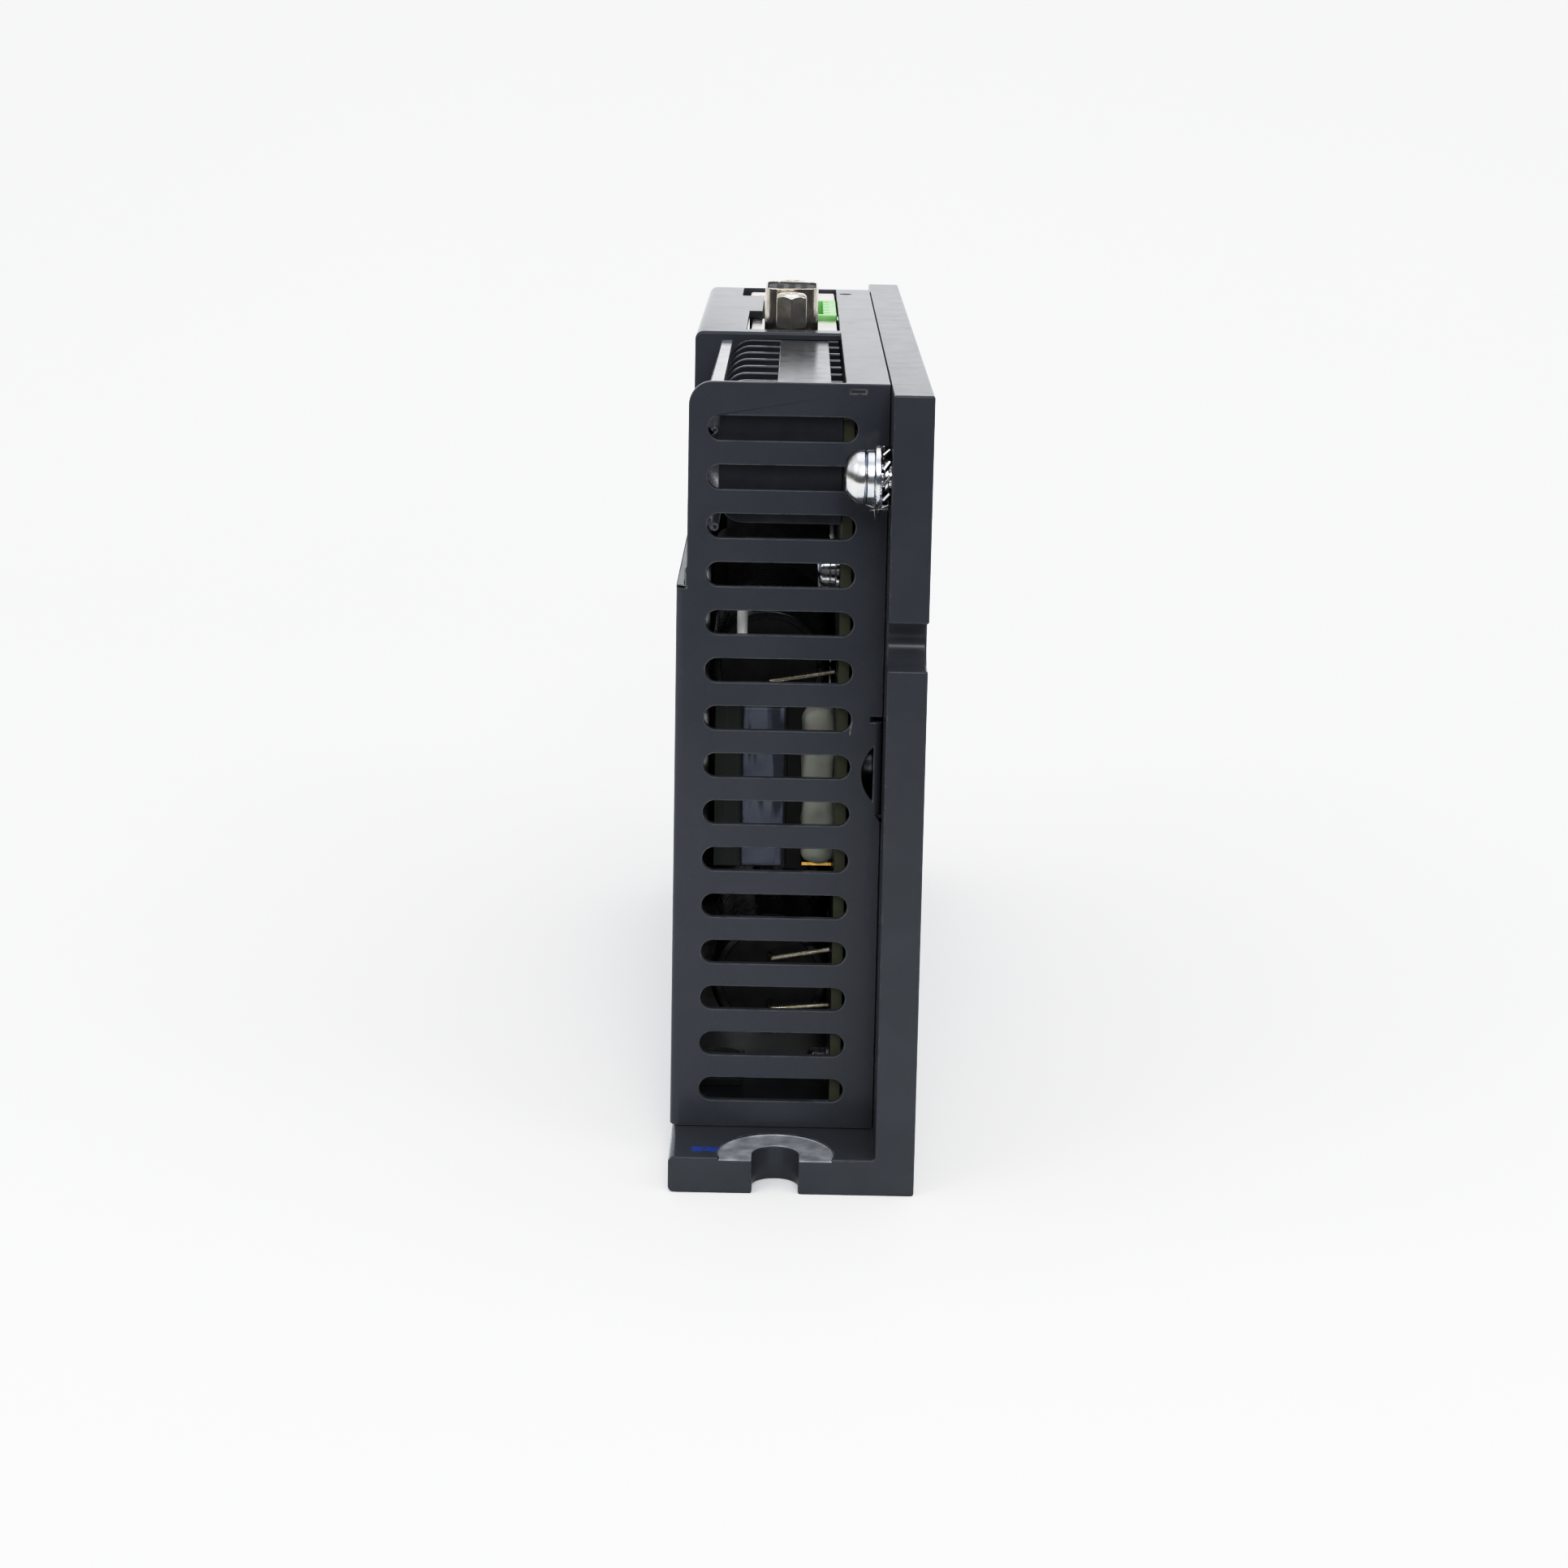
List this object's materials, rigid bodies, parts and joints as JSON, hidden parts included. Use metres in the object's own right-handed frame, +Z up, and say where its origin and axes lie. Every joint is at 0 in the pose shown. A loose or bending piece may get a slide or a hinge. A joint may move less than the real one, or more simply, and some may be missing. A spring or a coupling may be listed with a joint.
{
  "type": "stepper motor driver module",
  "caption": "Narrow book-format stepper motor driver: L-shaped heat-sink bracket, vented sheet cover, barrier terminals and edge connectors.",
  "frame": {"origin": "centre of the footprint, on the surface that the foot stands on", "axes": "+X across the narrow front towards the mounting plate, +Y from the front end to the rear end, +Z up from the foot"},
  "size_m": [0.0358, 0.18, 0.122],
  "materials": {
    "bracket_black": "satin black anodised",
    "cover_black": "satin black powder coat",
    "black_oxide_steel": "black oxide",
    "zinc_steel": "bright zinc plated",
    "nickel": "bright nickel plated",
    "brass_plated": "tin plated brass",
    "gold_plated": "gold flashed",
    "tin_wire": "tinned wire",
    "board_green": "solder-masked glass epoxy",
    "terminal_black": "moulded semi-gloss",
    "guard_clear": "milky semi-clear polycarbonate",
    "black_plastic": "moulded matt black",
    "green_plastic": "moulded green polyamide",
    "cream_plastic": "moulded cream polyamide",
    "clear_plastic": "polished",
    "led_white": "moulded",
    "capacitor_sleeve": "shrink sleeve",
    "rubber_black": "moulded rubber",
    "hybrid_grey": "moulded blue-grey epoxy",
    "silicone_white": "cured silicone",
    "ferrite": "sintered ferrite",
    "coil_tape": "dark polyester tape",
    "sleeve_white": "white sleeving",
    "fuse_glass": "clear",
    "chip_black": "moulded epoxy",
    "ceramic_tan": "ceramic",
    "pad_grey": "thermal silicone"
  },
  "bodies": {
    "chassis": {"heatsink_bracket": "bracket_black", "cover": "cover_black", "cover_screws": "black_oxide_steel", "cover_nuts": "zinc_steel", "main_board": "board_green", "board_standoffs": "brass_plated", "board_screws": "zinc_steel", "board_washers": "zinc_steel", "terminal_block": "terminal_black", "terminal_contacts": "nickel", "encoder_shell": "nickel", "encoder_insulator": "black_plastic", "encoder_contacts": "gold_plated", "encoder_jackscrews": "nickel", "motor_header": "green_plastic", "motor_header_pins": "tin_wire", "modular_jack": "cream_plastic", "jack_contacts": "gold_plated", "light_pipe": "clear_plastic", "status_led": "led_white", "capacitor_lower": "capacitor_sleeve", "capacitor_upper": "capacitor_sleeve", "capacitor_bungs": "rubber_black", "capacitor_leads": "tin_wire", "sleeved_link": "sleeve_white", "daughter_board": "board_green", "driver_hybrid": "hybrid_grey", "header_strip": "black_plastic", "header_strip_pins": "gold_plated", "adhesive_bead": "silicone_white", "transformer_core": "ferrite", "transformer_coil": "coil_tape", "transformer_pins": "tin_wire", "bridge_rectifier": "chip_black", "fuse_tube": "fuse_glass", "fuse_caps": "nickel", "filter_choke": "ferrite", "control_chips": "chip_black", "small_parts": "ceramic_tan", "thermal_pad": "pad_grey", "power_transistors": "chip_black"},
    "clamp_1": {"terminal_screw_1": "zinc_steel", "terminal_washer_1": "zinc_steel"},
    "clamp_2": {"terminal_screw_2": "zinc_steel", "terminal_washer_2": "zinc_steel"},
    "clamp_3": {"terminal_screw_3": "zinc_steel", "terminal_washer_3": "zinc_steel"},
    "clamp_4": {"terminal_screw_4": "zinc_steel", "terminal_washer_4": "zinc_steel"},
    "clamp_5": {"terminal_screw_5": "zinc_steel", "terminal_washer_5": "zinc_steel"},
    "clamp_6": {"terminal_screw_6": "zinc_steel", "terminal_washer_6": "zinc_steel"},
    "clamp_7": {"terminal_screw_7": "zinc_steel", "terminal_washer_7": "zinc_steel"},
    "guard": {"terminal_guard": "guard_clear"},
    "earth_stack": {"earth_screw": "zinc_steel", "earth_spring_washer": "zinc_steel", "earth_flat_washer": "zinc_steel", "earth_lock_washer": "zinc_steel"}
  },
  "joints": [
    {"name": "terminal_screw_1_back_out", "type": "slide", "parent": "chassis", "child": "clamp_1", "axis": [-1, 0, 0], "range_m": [0, 0.003]},
    {"name": "terminal_screw_2_back_out", "type": "slide", "parent": "chassis", "child": "clamp_2", "axis": [-1, 0, 0], "range_m": [0, 0.003]},
    {"name": "terminal_screw_3_back_out", "type": "slide", "parent": "chassis", "child": "clamp_3", "axis": [-1, 0, 0], "range_m": [0, 0.003]},
    {"name": "terminal_screw_4_back_out", "type": "slide", "parent": "chassis", "child": "clamp_4", "axis": [-1, 0, 0], "range_m": [0, 0.003]},
    {"name": "terminal_screw_5_back_out", "type": "slide", "parent": "chassis", "child": "clamp_5", "axis": [-1, 0, 0], "range_m": [0, 0.003]},
    {"name": "terminal_screw_6_back_out", "type": "slide", "parent": "chassis", "child": "clamp_6", "axis": [-1, 0, 0], "range_m": [0, 0.003]},
    {"name": "terminal_screw_7_back_out", "type": "slide", "parent": "chassis", "child": "clamp_7", "axis": [-1, 0, 0], "range_m": [0, 0.003]},
    {"name": "guard_pull_off", "type": "slide", "parent": "chassis", "child": "guard", "axis": [-1, 0, 0], "range_m": [0, 0.03]},
    {"name": "earth_screw_back_out", "type": "slide", "parent": "chassis", "child": "earth_stack", "axis": [-1, 0, 0], "range_m": [0, 0.005]}
  ]
}
